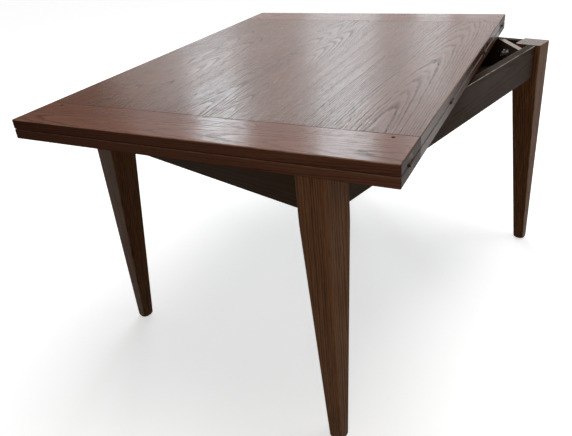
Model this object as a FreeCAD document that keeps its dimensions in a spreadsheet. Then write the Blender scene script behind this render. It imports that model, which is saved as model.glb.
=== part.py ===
import FreeCAD, Part
import math
import os
import re
import Sketcher

# A fold-over dining table. Two equal leaves lie on each other like a closed book, hinged along one
# long edge. The pair turns a quarter turn on an off-centre pivot, so that the hinged edge comes over
# the middle of the base, and the upper leaf then opens to double the top. The base is four tapered
# legs bolted to an apron frame, with a shallow store under the top.
#
# Millimetres, +Z up, floor at zero, origin under the middle of the whole table as it stands.
# +X runs along the base's long side. Pieces are drawn in one of three frames: the base's middle, the
# outer corner of a leg, or the pivot of the top, and are then set in place.

doc = FreeCAD.newDocument("fold_over_table")
sizes = doc.addObject("Spreadsheet::Sheet", "Sizes")

driving_sizes = {
    # the folded top
    "table_height": 740,
    "leaf_length": 1200,
    "leaf_width": 900,
    "leaf_thickness": 22.5,
    "leaf_gap": 1,
    "leaf_overhang": 53,
    "turn_angle": 15.5,
    "edge_round": 2.5,
    "board_count": 6,
    "end_width": 122,
    "tongue_length": 20,
    "tongue_thickness": 8,
    "groove_stop": 30,
    "groove_room": 1,
    "peg_diameter": 8,
    "peg_joint_inset": 13,
    "peg_side_inset": 46,
    # legs
    "leg_size": 74,
    "foot_size": 32,
    "foot_round": 18,
    "knee_radius": 600,
    "arris_round": 4,
    "leg_chamfer": 6,
    # apron frame
    "slide_gap": 4.5,
    "slide_clearance": 0.3,
    "apron_height": 95,
    "apron_thickness": 22,
    "apron_setback": 13,
    "apron_round": 1.5,
    "brace_thickness": 16,
    "brace_height": 48,
    "brace_gap": 6,
    # leg bolts
    "bolt_diameter": 8,
    "bolt_depth": 40,
    "bolt_end": 6,
    "bolt_clearance": 0.5,
    "washer_diameter": 22,
    "washer_thickness": 2,
    "nut_diameter": 15,
    "nut_height": 10,
    "wing_reach": 17,
    "wing_rise": 16,
    "wing_thickness": 3,
    # wood screws
    "screw_diameter": 4,
    "screw_head": 8,
    "screw_length": 30,
    "screw_inset": 9,
    "screw_spread": 26,
    "small_diameter": 3,
    "small_head": 6,
    "small_length": 16,
    # store panel
    "panel_thickness": 5,
    "panel_rebate": 11,
    "panel_clearance": 0.2,
    "panel_end_inset": 60,
    # pivot
    "rail_width": 100,
    "rail_thickness": 38,
    "rail_housing": 6,
    "stud_diameter": 16,
    "pivot_clearance": 0.05,
    "bush_wall": 4,
    "flange_diameter": 92,
    "flange_circle": 66,
    "keeper_diameter": 36,
    "keeper_thickness": 3,
    "lock_width": 24,
    "lock_height": 13,
    "stud_end": 3,
    "stud_bevel": 2,
    "stop_diameter": 16,
    "stop_depth": 14,
    "stop_reach": 22,
    "stop_clearance": 0.1,
    # slide pads
    "pad_diameter": 19,
    "pad_shank": 8,
    "pad_depth": 10,
    "pad_bevel": 1,
    "pad_spacing": 380,
    "pad_offset": 150,
    # hinges
    "hinge_end_inset": 60,
    "hinge_inner_inset": 390,
    "plate_length": 25,
    "plate_height": 17,
    "plate_thickness": 2,
    "plate_screw_spread": 13,
    "plate_screw_drop": 10,
    "hinge_offset": 0.5,
    "knuckle_radius": 3,
    "knuckle_clearance": 0.3,
    "pin_diameter": 3,
    "pin_clearance": 0.05,
}

worked_out_sizes = {
    # levels
    "upper_bottom": "table_height - leaf_thickness",
    "lower_top": "upper_bottom - leaf_gap",
    "lower_bottom": "lower_top - leaf_thickness",
    "hinge_level": "lower_top + leaf_gap / 2",
    "frame_top": "lower_bottom - slide_gap",
    "apron_bottom": "frame_top - apron_height",
    "bolt_level": "frame_top - brace_height / 2",
    "panel_top": "apron_bottom + panel_thickness",
    "rail_bottom": "frame_top - rail_thickness",
    # base
    "base_length": "leaf_length - 2 * leaf_overhang",
    "base_width": "leaf_width - 2 * leaf_overhang",
    "apron_inset": "apron_setback + apron_thickness",
    "brace_near": "2 * leg_size + brace_gap * sqrt(2)",
    "brace_far": "brace_near + brace_thickness * sqrt(2)",
    "leg_flat": "(2 * leg_size - leg_chamfer) * sqrt(2) / 2",
    "brace_face": "brace_far * sqrt(2) / 2",
    "bolt_start": "leg_flat - bolt_depth",
    "nut_seat": "brace_face + washer_thickness",
    "bolt_length": "nut_seat + nut_height + bolt_end - bolt_start",
    "foot_flat": "(foot_size + arris_round) * sqrt(2) / 2 - foot_round",
    "apron_middle": "apron_setback + apron_thickness / 2",
    "long_apron": "base_length - 2 * leg_size",
    "short_apron": "base_width - 2 * leg_size",
    "well_half_length": "base_length / 2 - apron_inset",
    "well_half_width": "base_width / 2 - apron_inset",
    # top, measured from its pivot; a quarter turn brings the hinged edge over the base's middle
    "pivot_shift": "leaf_width / 4",
    "leaf_left": "pivot_shift - leaf_length / 2",
    "leaf_right": "pivot_shift + leaf_length / 2",
    "leaf_front": "pivot_shift - leaf_width / 2",
    "leaf_back": "pivot_shift + leaf_width / 2",
    "board_length": "leaf_length - 2 * end_width",
    "board_width": "leaf_width / board_count",
    "groove_depth": "tongue_length + groove_room",
    "stop_place": "rail_width / 2 + stop_diameter / 2 + stop_clearance",
    "flange_thickness": "slide_gap - slide_clearance",
    "flange_bottom": "lower_bottom - flange_thickness",
    "stud_bottom": "lock_top - lock_height - stud_end",
    "bush_inner": "stud_diameter / 2 + pivot_clearance",
    "bush_outer": "bush_inner + bush_wall",
    "knuckle_room": "knuckle_radius + knuckle_clearance",
    "knuckle_length": "plate_length / 3",
    "keeper_top": "rail_bottom - slide_clearance",
    "lock_top": "keeper_top - keeper_thickness",
    # middle of the base, from the middle of the table's whole extent at this turn
    "reach_left": "leaf_left * cos(turn_angle) - leaf_back * sin(turn_angle) - pivot_shift",
    "reach_right": "leaf_right * cos(turn_angle) - leaf_front * sin(turn_angle) - pivot_shift",
    "reach_front": "leaf_left * sin(turn_angle) + leaf_front * cos(turn_angle) - pivot_shift",
    "reach_back": "leaf_right * sin(turn_angle) + leaf_back * cos(turn_angle) - pivot_shift",
    "base_x": "-(min(reach_left; -base_length / 2) + max(reach_right; base_length / 2)) / 2",
    "base_y": "-(min(reach_front; -base_width / 2) + max(reach_back; base_width / 2)) / 2",
    "pivot_x": "base_x - pivot_shift",
    "pivot_y": "base_y - pivot_shift",
}

for row, (alias, value) in enumerate(driving_sizes.items(), start=1):
    sizes.set(f"A{row}", alias)
    sizes.set(f"B{row}", str(value))
    sizes.setAlias(f"B{row}", alias)
for row, (alias, value) in enumerate(worked_out_sizes.items(), start=len(driving_sizes) + 1):
    sizes.set(f"A{row}", alias)
    sizes.set(f"B{row}", f"={value}")
    sizes.setAlias(f"B{row}", alias)
doc.recompute()

# Where each frame stands: x, y and the turn about the vertical.
frames = {
    "base": ("base_x", "base_y", "0"),
    "top": ("pivot_x", "pivot_y", "turn_angle"),
}
corners = {
    "front_left": ("-base_length / 2", "-base_width / 2", "0"),
    "front_right": ("base_length / 2", "-base_width / 2", "90"),
    "back_right": ("base_length / 2", "base_width / 2", "180"),
    "back_left": ("-base_length / 2", "base_width / 2", "270"),
}
hinge_places = {
    1: "leaf_left + hinge_end_inset",
    2: "leaf_left + hinge_inner_inset",
    3: "leaf_right - hinge_inner_inset",
    4: "leaf_right - hinge_end_inset",
}
nodes = {}
tolerance = 0.001


# Every size has an underscore in its name, which tells it from a function's name.
def formula(text):
    return re.sub(r"\b([a-z]+_[a-z_]+)\b", r"Sizes.\1", text)


def bind(item, path, text):
    item.setExpression(path, formula(text))


# Sketches are drawn at the present sizes and then tied to the sheet.
def present(text):
    return float(sizes.evalExpression(formula(text)))


def spot(x, y):
    return FreeCAD.Vector(present(x), present(y), 0)


def new_body(name):
    return doc.addObject("PartDesign::Body", name)


def new_sketch(body, plane, level="0"):
    sketch = body.newObject("Sketcher::SketchObject", "sketch")
    support = next(item for item in body.Origin.OriginFeatures if item.Role == plane)
    sketch.AttachmentSupport = [(support, "")]
    sketch.MapMode = "FlatFace"
    bind(sketch, "AttachmentOffset.Base.z", level)
    return sketch


def fix_point(sketch, element, point, x, y):
    for kind, text in (("DistanceX", x), ("DistanceY", y)):
        distance = Sketcher.Constraint(kind, -1, 1, element, point, present(text))
        bind(sketch, f"Constraints[{sketch.addConstraint(distance)}]", text)


def fix_radius(sketch, element, text):
    radius = Sketcher.Constraint("Radius", element, present(text))
    bind(sketch, f"Constraints[{sketch.addConstraint(radius)}]", text)


# A closed outline of straight lines through the given points.
def polygon(body, plane, points, level="0"):
    sketch = new_sketch(body, plane, level)
    count = len(points)
    spots = [spot(x, y) for x, y in points]
    for index in range(count):
        sketch.addGeometry(Part.LineSegment(spots[index], spots[(index + 1) % count]))
    for index in range(count):
        sketch.addConstraint(Sketcher.Constraint("Coincident", index, 2, (index + 1) % count, 1))
    for index, (x, y) in enumerate(points):
        fix_point(sketch, index, 1, x, y)
    return sketch


def rectangle(body, plane, x_range, y_range, level="0"):
    (left, right), (low, high) = x_range, y_range
    return polygon(body, plane, [(left, low), (right, low), (right, high), (left, high)], level)


def circles(body, plane, rounds, level="0"):
    sketch = new_sketch(body, plane, level)
    for x, y, radius in rounds:
        circle = Part.Circle(spot(x, y), FreeCAD.Vector(0, 0, 1), present(radius))
        element = sketch.addGeometry(circle)
        fix_point(sketch, element, 3, x, y)
        fix_radius(sketch, element, radius)
    return sketch


def pad(body, sketch, length, side="One side", reverse=False):
    feature = body.newObject("PartDesign::Pad", "pad")
    feature.Profile = sketch
    feature.SideType = side
    feature.Reversed = reverse
    bind(feature, "Length", length)
    return feature


def pocket(body, sketch, length, side="One side", reverse=False):
    feature = body.newObject("PartDesign::Pocket", "pocket")
    feature.Profile = sketch
    feature.SideType = side
    feature.Reversed = reverse
    bind(feature, "Length", length)
    return feature


def pocket_through(body, sketch):
    feature = body.newObject("PartDesign::Pocket", "through")
    feature.Profile = sketch
    feature.SideType = "Symmetric"
    feature.Type = "ThroughAll"
    return feature


def turned(body, points):
    feature = body.newObject("PartDesign::Revolution", "turned")
    sketch = polygon(body, "XZ_Plane", points)
    feature.Profile = sketch
    feature.ReferenceAxis = (sketch, ["V_Axis"])
    feature.Angle = 360
    return feature


# Rounds the edges of the body's last feature for which keep(edge) holds.
def round_edges(body, radius, keep):
    doc.recompute()
    last = body.Tip
    names = [f"Edge{number}" for number, edge in enumerate(last.Shape.Edges, start=1) if keep(edge)]
    feature = body.newObject("PartDesign::Fillet", "rounding")
    feature.Base = (last, names)
    bind(feature, "Radius", radius)
    return feature


def middle(edge):
    low, high = edge.ParameterRange
    return edge.valueAt((low + high) / 2)


def same(value, other):
    return abs(value - other) < tolerance


def level_edge(edge):
    return same(edge.BoundBox.ZLength, 0)


def copy_of(master, x, y, z, axis=(0, 0, 1), angle=0):
    item = doc.addObject("Part::Compound", f"{master.Name}_copy")
    item.Links = [master]
    turn = FreeCAD.Rotation(FreeCAD.Vector(*axis), angle)
    item.Placement = FreeCAD.Placement(FreeCAD.Vector(0, 0, 0), turn)
    bind(item, "Placement.Base.x", x)
    bind(item, "Placement.Base.y", y)
    bind(item, "Placement.Base.z", z)
    return item


def at_corner(item, corner):
    x, y, turn = corners[corner]
    placed = copy_of(item, x, y, "0")
    bind(placed, "Placement.Rotation.Angle", turn)
    return placed


def group(name, items):
    item = doc.addObject("Part::Compound", name)
    item.Links = items
    return item


# Takes each tool from the piece in turn; the pieces of one tool never meet each other.
def cut(name, piece, tools):
    for number, tool in enumerate(tools, start=1):
        label = name if number == len(tools) else f"{name}_step"
        result = doc.addObject("Part::Cut", label)
        result.Base = piece
        result.Tool = tool
        piece = result
    return piece


# Names a finished piece and sets it in its frame.
def node(label, item, frame):
    x, y, turn = frames[frame]
    item.Label = label
    bind(item, "Placement.Base.x", x)
    bind(item, "Placement.Base.y", y)
    bind(item, "Placement.Rotation.Angle", turn)
    nodes[label] = item


# Countersunk wood screw pointing up, its flat head at zero.
def wood_screw(name, diameter, head, length):
    body = new_body(name)
    shank = f"{diameter} / 2"
    neck = f"({head} - {diameter}) / 2"
    turned(body, [
        ("0", "0"),
        (f"{head} / 2", "0"),
        (shank, neck),
        (shank, f"{length} - {diameter}"),
        ("0", length),
    ])
    return body


def ring(name, outer, inner, height):
    body = new_body(name)
    pad(body, circles(body, "XY_Plane", [("0", "0", outer), ("0", "0", inner)]), height)
    return body


# Legs: outer faces plumb, the two inner faces tapering from the apron down to a rounded foot.
# The outline starts with the tapered line and the arc that eases it into the upright part.
def taper_outline(sketch, points):
    foot = sizes.foot_size
    leg = sizes.leg_size
    knee = sizes.apron_bottom
    radius = sizes.knee_radius
    lean = math.atan2(leg - foot, knee)
    centre = FreeCAD.Vector(leg - radius, knee, 0)
    bend = centre + FreeCAD.Vector(radius * math.cos(lean), -radius * math.sin(lean), 0)
    line = sketch.addGeometry(Part.LineSegment(FreeCAD.Vector(foot, 0, 0), bend))
    circle = Part.Circle(centre, FreeCAD.Vector(0, 0, 1), radius)
    arc = sketch.addGeometry(Part.ArcOfCircle(circle, -lean, 0))
    sketch.addConstraint(Sketcher.Constraint("Tangent", line, 2, arc, 1))
    fix_point(sketch, line, 1, "foot_size", "0")
    fix_point(sketch, arc, 2, "leg_size", "apron_bottom")
    fix_point(sketch, arc, 3, "leg_size - knee_radius", "apron_bottom")
    last = (arc, 2)
    start = FreeCAD.Vector(leg, knee, 0)
    for x, y in points:
        end = spot(x, y)
        side = sketch.addGeometry(Part.LineSegment(start, end))
        sketch.addConstraint(Sketcher.Constraint("Coincident", *last, side, 1))
        fix_point(sketch, side, 2, x, y)
        last = (side, 2)
        start = end
    closing = sketch.addGeometry(Part.LineSegment(start, FreeCAD.Vector(foot, 0, 0)))
    sketch.addConstraint(Sketcher.Constraint("Coincident", *last, closing, 1))
    sketch.addConstraint(Sketcher.Constraint("Coincident", closing, 2, line, 1))


# Turns away the waste round the foot, leaving a flat ring that stands on the floor.
def round_foot(body):
    sketch = new_sketch(body, "XZ_Plane", "-foot_size / 2")
    bind(sketch, "AttachmentOffset.Base.x", "foot_size / 2")
    flat = sizes.foot_flat
    radius = sizes.foot_round
    far = sizes.leg_size
    circle = Part.Circle(FreeCAD.Vector(flat, radius, 0), FreeCAD.Vector(0, 0, 1), radius)
    arc = sketch.addGeometry(Part.ArcOfCircle(circle, -math.pi / 2, 0))
    spots = [(flat + radius, radius), (far, radius), (far, -radius), (flat, -radius), (flat, 0)]
    ends = [FreeCAD.Vector(x, y, 0) for x, y in spots]
    sides = [sketch.addGeometry(Part.LineSegment(ends[i], ends[i + 1])) for i in range(4)]
    fix_point(sketch, arc, 3, "foot_flat", "foot_round")
    fix_radius(sketch, arc, "foot_round")
    last = arc
    for side in sides:
        sketch.addConstraint(Sketcher.Constraint("Coincident", last, 2, side, 1))
        last = side
    sketch.addConstraint(Sketcher.Constraint("Coincident", last, 2, arc, 1))
    fix_point(sketch, sides[0], 2, "leg_size", "foot_round")
    fix_point(sketch, sides[1], 2, "leg_size", "-foot_round")
    fix_point(sketch, sides[2], 2, "foot_flat", "-foot_round")
    sketch.addConstraint(Sketcher.Constraint("Vertical", sides[3]))
    sketch.addConstraint(Sketcher.Constraint("Horizontal", sides[0]))
    feature = body.newObject("PartDesign::Groove", "foot")
    feature.Profile = sketch
    feature.ReferenceAxis = (sketch, ["V_Axis"])
    feature.Angle = 360


def leg_blank():
    body = new_body("leg_blank")
    outline = new_sketch(body, "XZ_Plane")
    taper_outline(outline, [("leg_size", "frame_top"), ("0", "frame_top"), ("0", "0")])
    pad(body, outline, "leg_size", reverse=True)
    waste = new_sketch(body, "YZ_Plane")
    far = "2 * leg_size"
    taper_outline(waste, [(far, "apron_bottom"), (far, "-leg_size"), ("foot_size", "-leg_size")])
    pocket_through(body, waste)
    round_edges(body, "arris_round", lambda edge: edge.BoundBox.ZLength > sizes.arris_round)
    round_foot(body)
    # the inner arris is planed flat beside the aprons, square to the bolt
    bolt_flat = polygon(body, "XY_Plane", [
        ("leg_size", "leg_size - leg_chamfer"),
        ("leg_size + leg_chamfer", "leg_size + leg_chamfer"),
        ("leg_size - leg_chamfer", "leg_size"),
    ], "frame_top")
    pocket(body, bolt_flat, "apron_height")
    return body


# Corner braces stand across each corner, between the inner faces of two aprons.
def brace_blank():
    body = new_body("brace_blank")
    outline = polygon(body, "XY_Plane", [
        ("brace_near - apron_inset", "apron_inset"),
        ("brace_far - apron_inset", "apron_inset"),
        ("apron_inset", "brace_far - apron_inset"),
        ("apron_inset", "brace_near - apron_inset"),
    ], "frame_top")
    pad(body, outline, "brace_height", reverse=True)
    return body


# The bolt runs along the corner's diagonal, from inside the leg to the nut behind the brace.
def leg_bolt():
    body = new_body("leg_bolt")
    radius = "bolt_diameter / 2"
    bevel = "bolt_diameter / 8"
    turned(body, [
        ("0", "0"),
        (f"{radius} - {bevel}", "0"),
        (radius, bevel),
        (radius, f"bolt_length - {bevel}"),
        (f"{radius} - {bevel}", "bolt_length"),
        ("0", "bolt_length"),
    ])
    return body


def wing_nut():
    body = new_body("wing_nut")
    bore = "bolt_diameter / 2"
    hub = "nut_diameter / 2"
    turned(body, [
        (bore, "0"),
        (hub, "0"),
        (f"{hub} - wing_thickness / 2", "nut_height"),
        (bore, "nut_height"),
    ])
    root = "(bolt_diameter + nut_diameter) / 4"
    wing = polygon(body, "XZ_Plane", [
        (root, "wing_thickness / 2"),
        ("wing_reach - wing_thickness", "nut_height - wing_thickness"),
        ("wing_reach", "wing_rise - wing_thickness"),
        ("wing_reach - wing_thickness / 2", "wing_rise"),
        ("wing_reach - wing_thickness * 3 / 2", "wing_rise"),
        (root, "nut_height - wing_thickness / 2"),
    ])
    first = pad(body, wing, "wing_thickness", "Symmetric")
    both = body.newObject("PartDesign::Mirrored", "wings")
    both.Originals = [first]
    plane = next(item for item in body.Origin.OriginFeatures if item.Role == "YZ_Plane")
    both.MirrorPlane = (plane, [""])
    body.Tip = both
    return body


# Sets a turned piece on the corner's diagonal, that far from the outer corner.
def on_diagonal(item, distance, axis=(-1, 1, 0)):
    along = f"({distance}) * sqrt(2) / 2"
    return copy_of(item, along, along, "bolt_level", axis, 90)


# Screws go square through the brace's inner face, near each end and at two heights.
def brace_screw_set(screw):
    inset = "apron_inset + screw_inset * sqrt(2) / 2"
    across = "brace_far - apron_inset - screw_inset * sqrt(2) / 2"
    items = []
    for x, y in ((across, inset), (inset, across)):
        for side in ("-", "+"):
            level = f"bolt_level {side} screw_spread / 2"
            items.append(copy_of(screw, x, y, level, (1, -1, 0), 90))
    return group("corner_screws", items)


leg = leg_blank()
brace = brace_blank()
bolt = on_diagonal(leg_bolt(), "bolt_start")
washer = on_diagonal(ring("washer", "washer_diameter / 2", "bolt_diameter / 2 + bolt_clearance",
                          "washer_thickness"), "brace_face")
nut = on_diagonal(wing_nut(), "nut_seat")
long_screw = wood_screw("long_screw", "screw_diameter", "screw_head", "screw_length")
short_screw = wood_screw("short_screw", "small_diameter", "small_head", "small_length")
corner_screws = brace_screw_set(long_screw)

bolt_hole = doc.addObject("Part::Cylinder", "bolt_hole")
bind(bolt_hole, "Radius", "bolt_diameter / 2 + bolt_clearance")
bind(bolt_hole, "Height", "brace_thickness * 2")
bolt_room = on_diagonal(bolt_hole, "brace_near * sqrt(2) / 2 - brace_thickness / 2")
bored_leg = cut("bored_leg", leg, [bolt])
bored_brace = cut("bored_brace", brace, [bolt_room, corner_screws])
for corner in corners:
    node(f"leg_{corner}", group("leg", [at_corner(bored_leg, corner)]), "base")
    node(f"brace_{corner}", group("brace", [at_corner(bored_brace, corner)]), "base")
for label, item in (("leg_bolts", bolt), ("leg_washers", washer), ("wing_nuts", nut)):
    node(label, group(label, [at_corner(item, corner) for corner in corners]), "base")
all_brace_screws = group("brace_screw_sets", [at_corner(corner_screws, corner) for corner in corners])
node("brace_screws", group("brace_screws", [all_brace_screws]), "base")


# The pivot rail crosses the frame under the pivot, its ends housed in the long aprons.
def pivot_rail():
    body = new_body("rail")
    reach = "(well_half_width + rail_housing)"
    outline = rectangle(
        body, "XY_Plane",
        ("-pivot_shift - rail_width / 2", "-pivot_shift + rail_width / 2"),
        (f"-{reach}", reach), "frame_top")
    pad(body, outline, "rail_thickness", reverse=True)
    return body


rail_blank = pivot_rail()
bush = copy_of(ring("bush", "bush_outer", "bush_inner", "rail_thickness"),
               "-pivot_shift", "-pivot_shift", "rail_bottom")
bush_hole = doc.addObject("Part::Cylinder", "bush_hole")
bind(bush_hole, "Radius", "bush_outer")
bind(bush_hole, "Height", "rail_thickness")
bush_room = copy_of(bush_hole, "-pivot_shift", "-pivot_shift", "rail_bottom")
node("pivot_rail", cut("pivot_rail", rail_blank, [bush_room]), "base")
node("pivot_bush", group("pivot_bush", [bush]), "base")


# The store's floor lies in rebates along the lower edges of the aprons, notched round the legs.
def store_panel():
    body = new_body("panel")
    long_edge = "(well_half_length + panel_rebate - panel_clearance)"
    long_notch = "(long_apron / 2 - panel_clearance)"
    wide_edge = "(well_half_width + panel_rebate - panel_clearance)"
    wide_notch = "(short_apron / 2 - panel_clearance)"
    outline = polygon(body, "XY_Plane", [
        (long_notch, f"-{wide_edge}"), (long_notch, f"-{wide_notch}"), (long_edge, f"-{wide_notch}"),
        (long_edge, wide_notch), (long_notch, wide_notch), (long_notch, wide_edge),
        (f"-{long_notch}", wide_edge), (f"-{long_notch}", wide_notch), (f"-{long_edge}", wide_notch),
        (f"-{long_edge}", f"-{wide_notch}"), (f"-{long_notch}", f"-{wide_notch}"),
        (f"-{long_notch}", f"-{wide_edge}"),
    ], "apron_bottom")
    pad(body, outline, "panel_thickness")
    return body


def panel_screw_set(screw):
    long_end = "(long_apron / 2 - panel_end_inset)"
    wide_end = "(short_apron / 2 - panel_end_inset)"
    items = []
    for side in ("-", ""):
        for share in ("-", "-1 / 3 * ", "1 / 3 * ", ""):
            row = f"{side}(well_half_width + panel_rebate / 2)"
            items.append(copy_of(screw, share + long_end, row, "apron_bottom"))
        for share in ("-", "0 * ", ""):
            row = f"{side}(well_half_length + panel_rebate / 2)"
            items.append(copy_of(screw, row, share + wide_end, "apron_bottom"))
    return group("panel_screw_set", items)


# Pads let into the tops of the aprons carry the top as it turns.
def slide_pad():
    body = new_body("slide_pad")
    radius = "pad_diameter / 2"
    turned(body, [
        ("0", "-pad_depth"),
        ("pad_shank / 2", "-pad_depth"),
        ("pad_shank / 2", "0"),
        (radius, "0"),
        (radius, "flange_thickness - pad_bevel"),
        (f"{radius} - pad_bevel", "flange_thickness"),
        ("0", "flange_thickness"),
    ])
    return body


def slide_pad_set(pad_master):
    end_row = "(base_length / 2 - apron_middle)"
    side_row = "(base_width / 2 - apron_middle)"
    items = []
    for side in ("-", ""):
        items.append(copy_of(pad_master, "-pad_offset", side + side_row, "frame_top"))
        for end in ("-", ""):
            items.append(copy_of(pad_master, end + end_row, f"{side}pad_spacing / 2", "frame_top"))
    return group("slide_pad_set", items)


panel_screws = panel_screw_set(short_screw)
pads = slide_pad_set(slide_pad())
node("store_panel", cut("store_panel", store_panel(), [panel_screws]), "base")
node("panel_screws", group("panel_screws", [panel_screws]), "base")
node("slide_pads", group("slide_pads", [pads]), "base")


# An apron along X: outer face at zero, rebated inside its lower edge for the store's floor.
def apron_blank(name, length):
    body = new_body(name)
    step = "apron_thickness - panel_rebate"
    section = polygon(body, "YZ_Plane", [
        ("0", "apron_bottom"), (step, "apron_bottom"), (step, "panel_top"),
        ("apron_thickness", "panel_top"), ("apron_thickness", "frame_top"), ("0", "frame_top"),
    ])
    pad(body, section, length, "Symmetric")
    round_edges(body, "apron_round", lambda edge: level_edge(edge)
                and same(edge.BoundBox.YLength, 0) and same(middle(edge).y, 0))
    return body


long_blank = apron_blank("long_apron_blank", "long_apron")
short_blank = apron_blank("short_apron_blank", "short_apron")
apron_places = {
    "front": (long_blank, "0", "-base_width / 2 + apron_setback", 0),
    "right": (short_blank, "base_length / 2 - apron_setback", "0", 90),
    "back": (long_blank, "0", "base_width / 2 - apron_setback", 180),
    "left": (short_blank, "-base_length / 2 + apron_setback", "0", 270),
}
for side, (blank, x, y, turn) in apron_places.items():
    housed = [rail_blank] if blank is long_blank else []
    tools = [*housed, all_brace_screws, panel_screws, pads]
    apron = cut(f"apron_{side}", copy_of(blank, x, y, "0", (0, 0, 1), turn), tools)
    node(f"apron_{side}", apron, "base")


# The top's pivot: a flange under the lower leaf, whose stud turns in the rail's bush.
def pivot_flange():
    body = new_body("flange")
    stud = "stud_diameter / 2"
    rim = "flange_diameter / 2"
    turned(body, [
        ("0", "lower_bottom"),
        (rim, "lower_bottom"),
        (rim, "flange_bottom"),
        (stud, "flange_bottom"),
        (stud, "stud_bottom + stud_bevel"),
        (f"{stud} - stud_bevel", "stud_bottom"),
        ("0", "stud_bottom"),
    ])
    return body


def lock_nut():
    body = new_body("lock_nut_body")
    corner = "lock_width / sqrt(3)"
    hexagon = [(f"{corner} * cos({60 * side})", f"{corner} * sin({60 * side})") for side in range(6)]
    pad(body, polygon(body, "XY_Plane", hexagon), "lock_height")
    pocket_through(body, circles(body, "XY_Plane", [("0", "0", "stud_diameter / 2")]))
    return body


# The stop peg meets the rail's side at both ends of the quarter turn.
def stop_peg():
    body = new_body("stop_peg_body")
    radius = "stop_diameter / 2"
    tip = "lower_bottom - slide_gap - stop_reach"
    turned(body, [
        ("0", "lower_bottom + stop_depth"),
        (radius, "lower_bottom + stop_depth"),
        (radius, f"{tip} + stud_bevel"),
        (f"{radius} - stud_bevel", tip),
        ("0", tip),
    ])
    return body


flange_radius = "flange_circle / 2"
flange_screws = group("flange_screw_set", [
    copy_of(short_screw, f"{flange_radius} * cos({turn})", f"{flange_radius} * sin({turn})", "flange_bottom")
    for turn in (45, 135, 225, 315)])
keeper = ring("keeper", "keeper_diameter / 2", "stud_diameter / 2", "keeper_thickness")
stop = copy_of(stop_peg(), "stop_place", "-stop_place", "0")
node("pivot_flange", cut("pivot_flange", pivot_flange(), [flange_screws]), "top")
node("flange_screws", group("flange_screws", [flange_screws]), "top")
node("keeper_washer", group("keeper_washer", [copy_of(keeper, "0", "0", "lock_top")]), "top")
node("lock_nut", group("lock_nut", [copy_of(lock_nut(), "0", "0", "lock_top - lock_height")]), "top")
node("stop_peg", group("stop_peg", [stop]), "top")


# Leaf boards run along the hinged edge, tongued into an end board at each end.
def board_blank(name, tongue_start):
    body = new_body(name)
    half = "board_length / 2"
    face = rectangle(body, "XY_Plane", (f"-{half}", half), ("0", "board_width"))
    pad(body, face, "leaf_thickness")
    tongue = f"({half} + tongue_length)"
    strip = rectangle(body, "XY_Plane", (f"-{tongue}", tongue), (tongue_start, "board_width"),
                      "leaf_thickness / 2")
    pad(body, strip, "tongue_thickness", "Symmetric")
    return body


def edge_board_blank():
    body = board_blank("edge_board", "groove_stop")
    thick = sizes.leaf_thickness
    round_edges(body, "edge_round", lambda edge: level_edge(edge) and same(middle(edge).y, 0)
                and (same(middle(edge).z, 0) or same(middle(edge).z, thick)))
    return body


def end_board_blank():
    body = new_body("end_board")
    face = rectangle(body, "XY_Plane", ("0", "end_width"), ("0", "leaf_width"))
    pad(body, face, "leaf_thickness")
    groove = rectangle(body, "XY_Plane", ("end_width - groove_depth", "end_width + groove_depth"),
                       ("groove_stop", "leaf_width - groove_stop"), "leaf_thickness / 2")
    pocket(body, groove, "tongue_thickness", "Symmetric")
    width = sizes.leaf_width
    joint = sizes.end_width
    round_edges(body, "edge_round", lambda edge: same(middle(edge).x, 0) or (
        (same(middle(edge).y, 0) or same(middle(edge).y, width)) and not same(middle(edge).x, joint)))
    return body


def peg_set(name, peg, level):
    items = []
    for x in ("leaf_left + end_width - peg_joint_inset", "leaf_right - end_width + peg_joint_inset"):
        for y in ("leaf_front + peg_side_inset", "leaf_back - peg_side_inset"):
            items.append(copy_of(peg, x, y, level))
    return group(name, items)


# Hinge plates, drawn about the pin: the leaf's edge face is at zero in Y, its leaf towards +Y.
def hinge_plate(name, low, high, bore):
    body = new_body(name)
    flat = rectangle(body, "YZ_Plane", ("0", "plate_thickness"), (low, high))
    pad(body, flat, "plate_length", "Symmetric")
    barrel = circles(body, "YZ_Plane", [("-hinge_offset", "0", "knuckle_radius")])
    pad(body, barrel, "plate_length", "Symmetric")
    pocket_through(body, circles(body, "YZ_Plane", [("-hinge_offset", "0", bore)]))
    return body


# The lower plate carries the two outer knuckles.
def lower_plate_blank():
    body = hinge_plate("lower_plate", "-plate_height", "0", "pin_diameter / 2")
    gap = circles(body, "YZ_Plane", [("-hinge_offset", "0", "knuckle_room")])
    pocket(body, gap, "knuckle_length + 2 * knuckle_clearance", "Symmetric")
    return body


# The upper plate carries the middle knuckle.
def upper_plate_blank():
    body = hinge_plate("upper_plate", "0", "plate_height", "pin_diameter / 2 + pin_clearance")
    gap = circles(body, "YZ_Plane", [("-hinge_offset", "0", "knuckle_room")], "knuckle_length / 2")
    first = pocket(body, gap, "plate_length", reverse=True)
    both = body.newObject("PartDesign::Mirrored", "gaps")
    both.Originals = [first]
    plane = next(item for item in body.Origin.OriginFeatures if item.Role == "YZ_Plane")
    both.MirrorPlane = (plane, [""])
    body.Tip = both
    return body


def hinge_pin():
    body = new_body("hinge_pin")
    radius = "pin_diameter / 2"
    bevel = "pin_diameter / 8"
    turned(body, [
        ("0", "0"),
        (f"{radius} - {bevel}", "0"),
        (radius, bevel),
        (radius, f"plate_length - {bevel}"),
        (f"{radius} - {bevel}", "plate_length"),
        ("0", "plate_length"),
    ])
    return body


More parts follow.
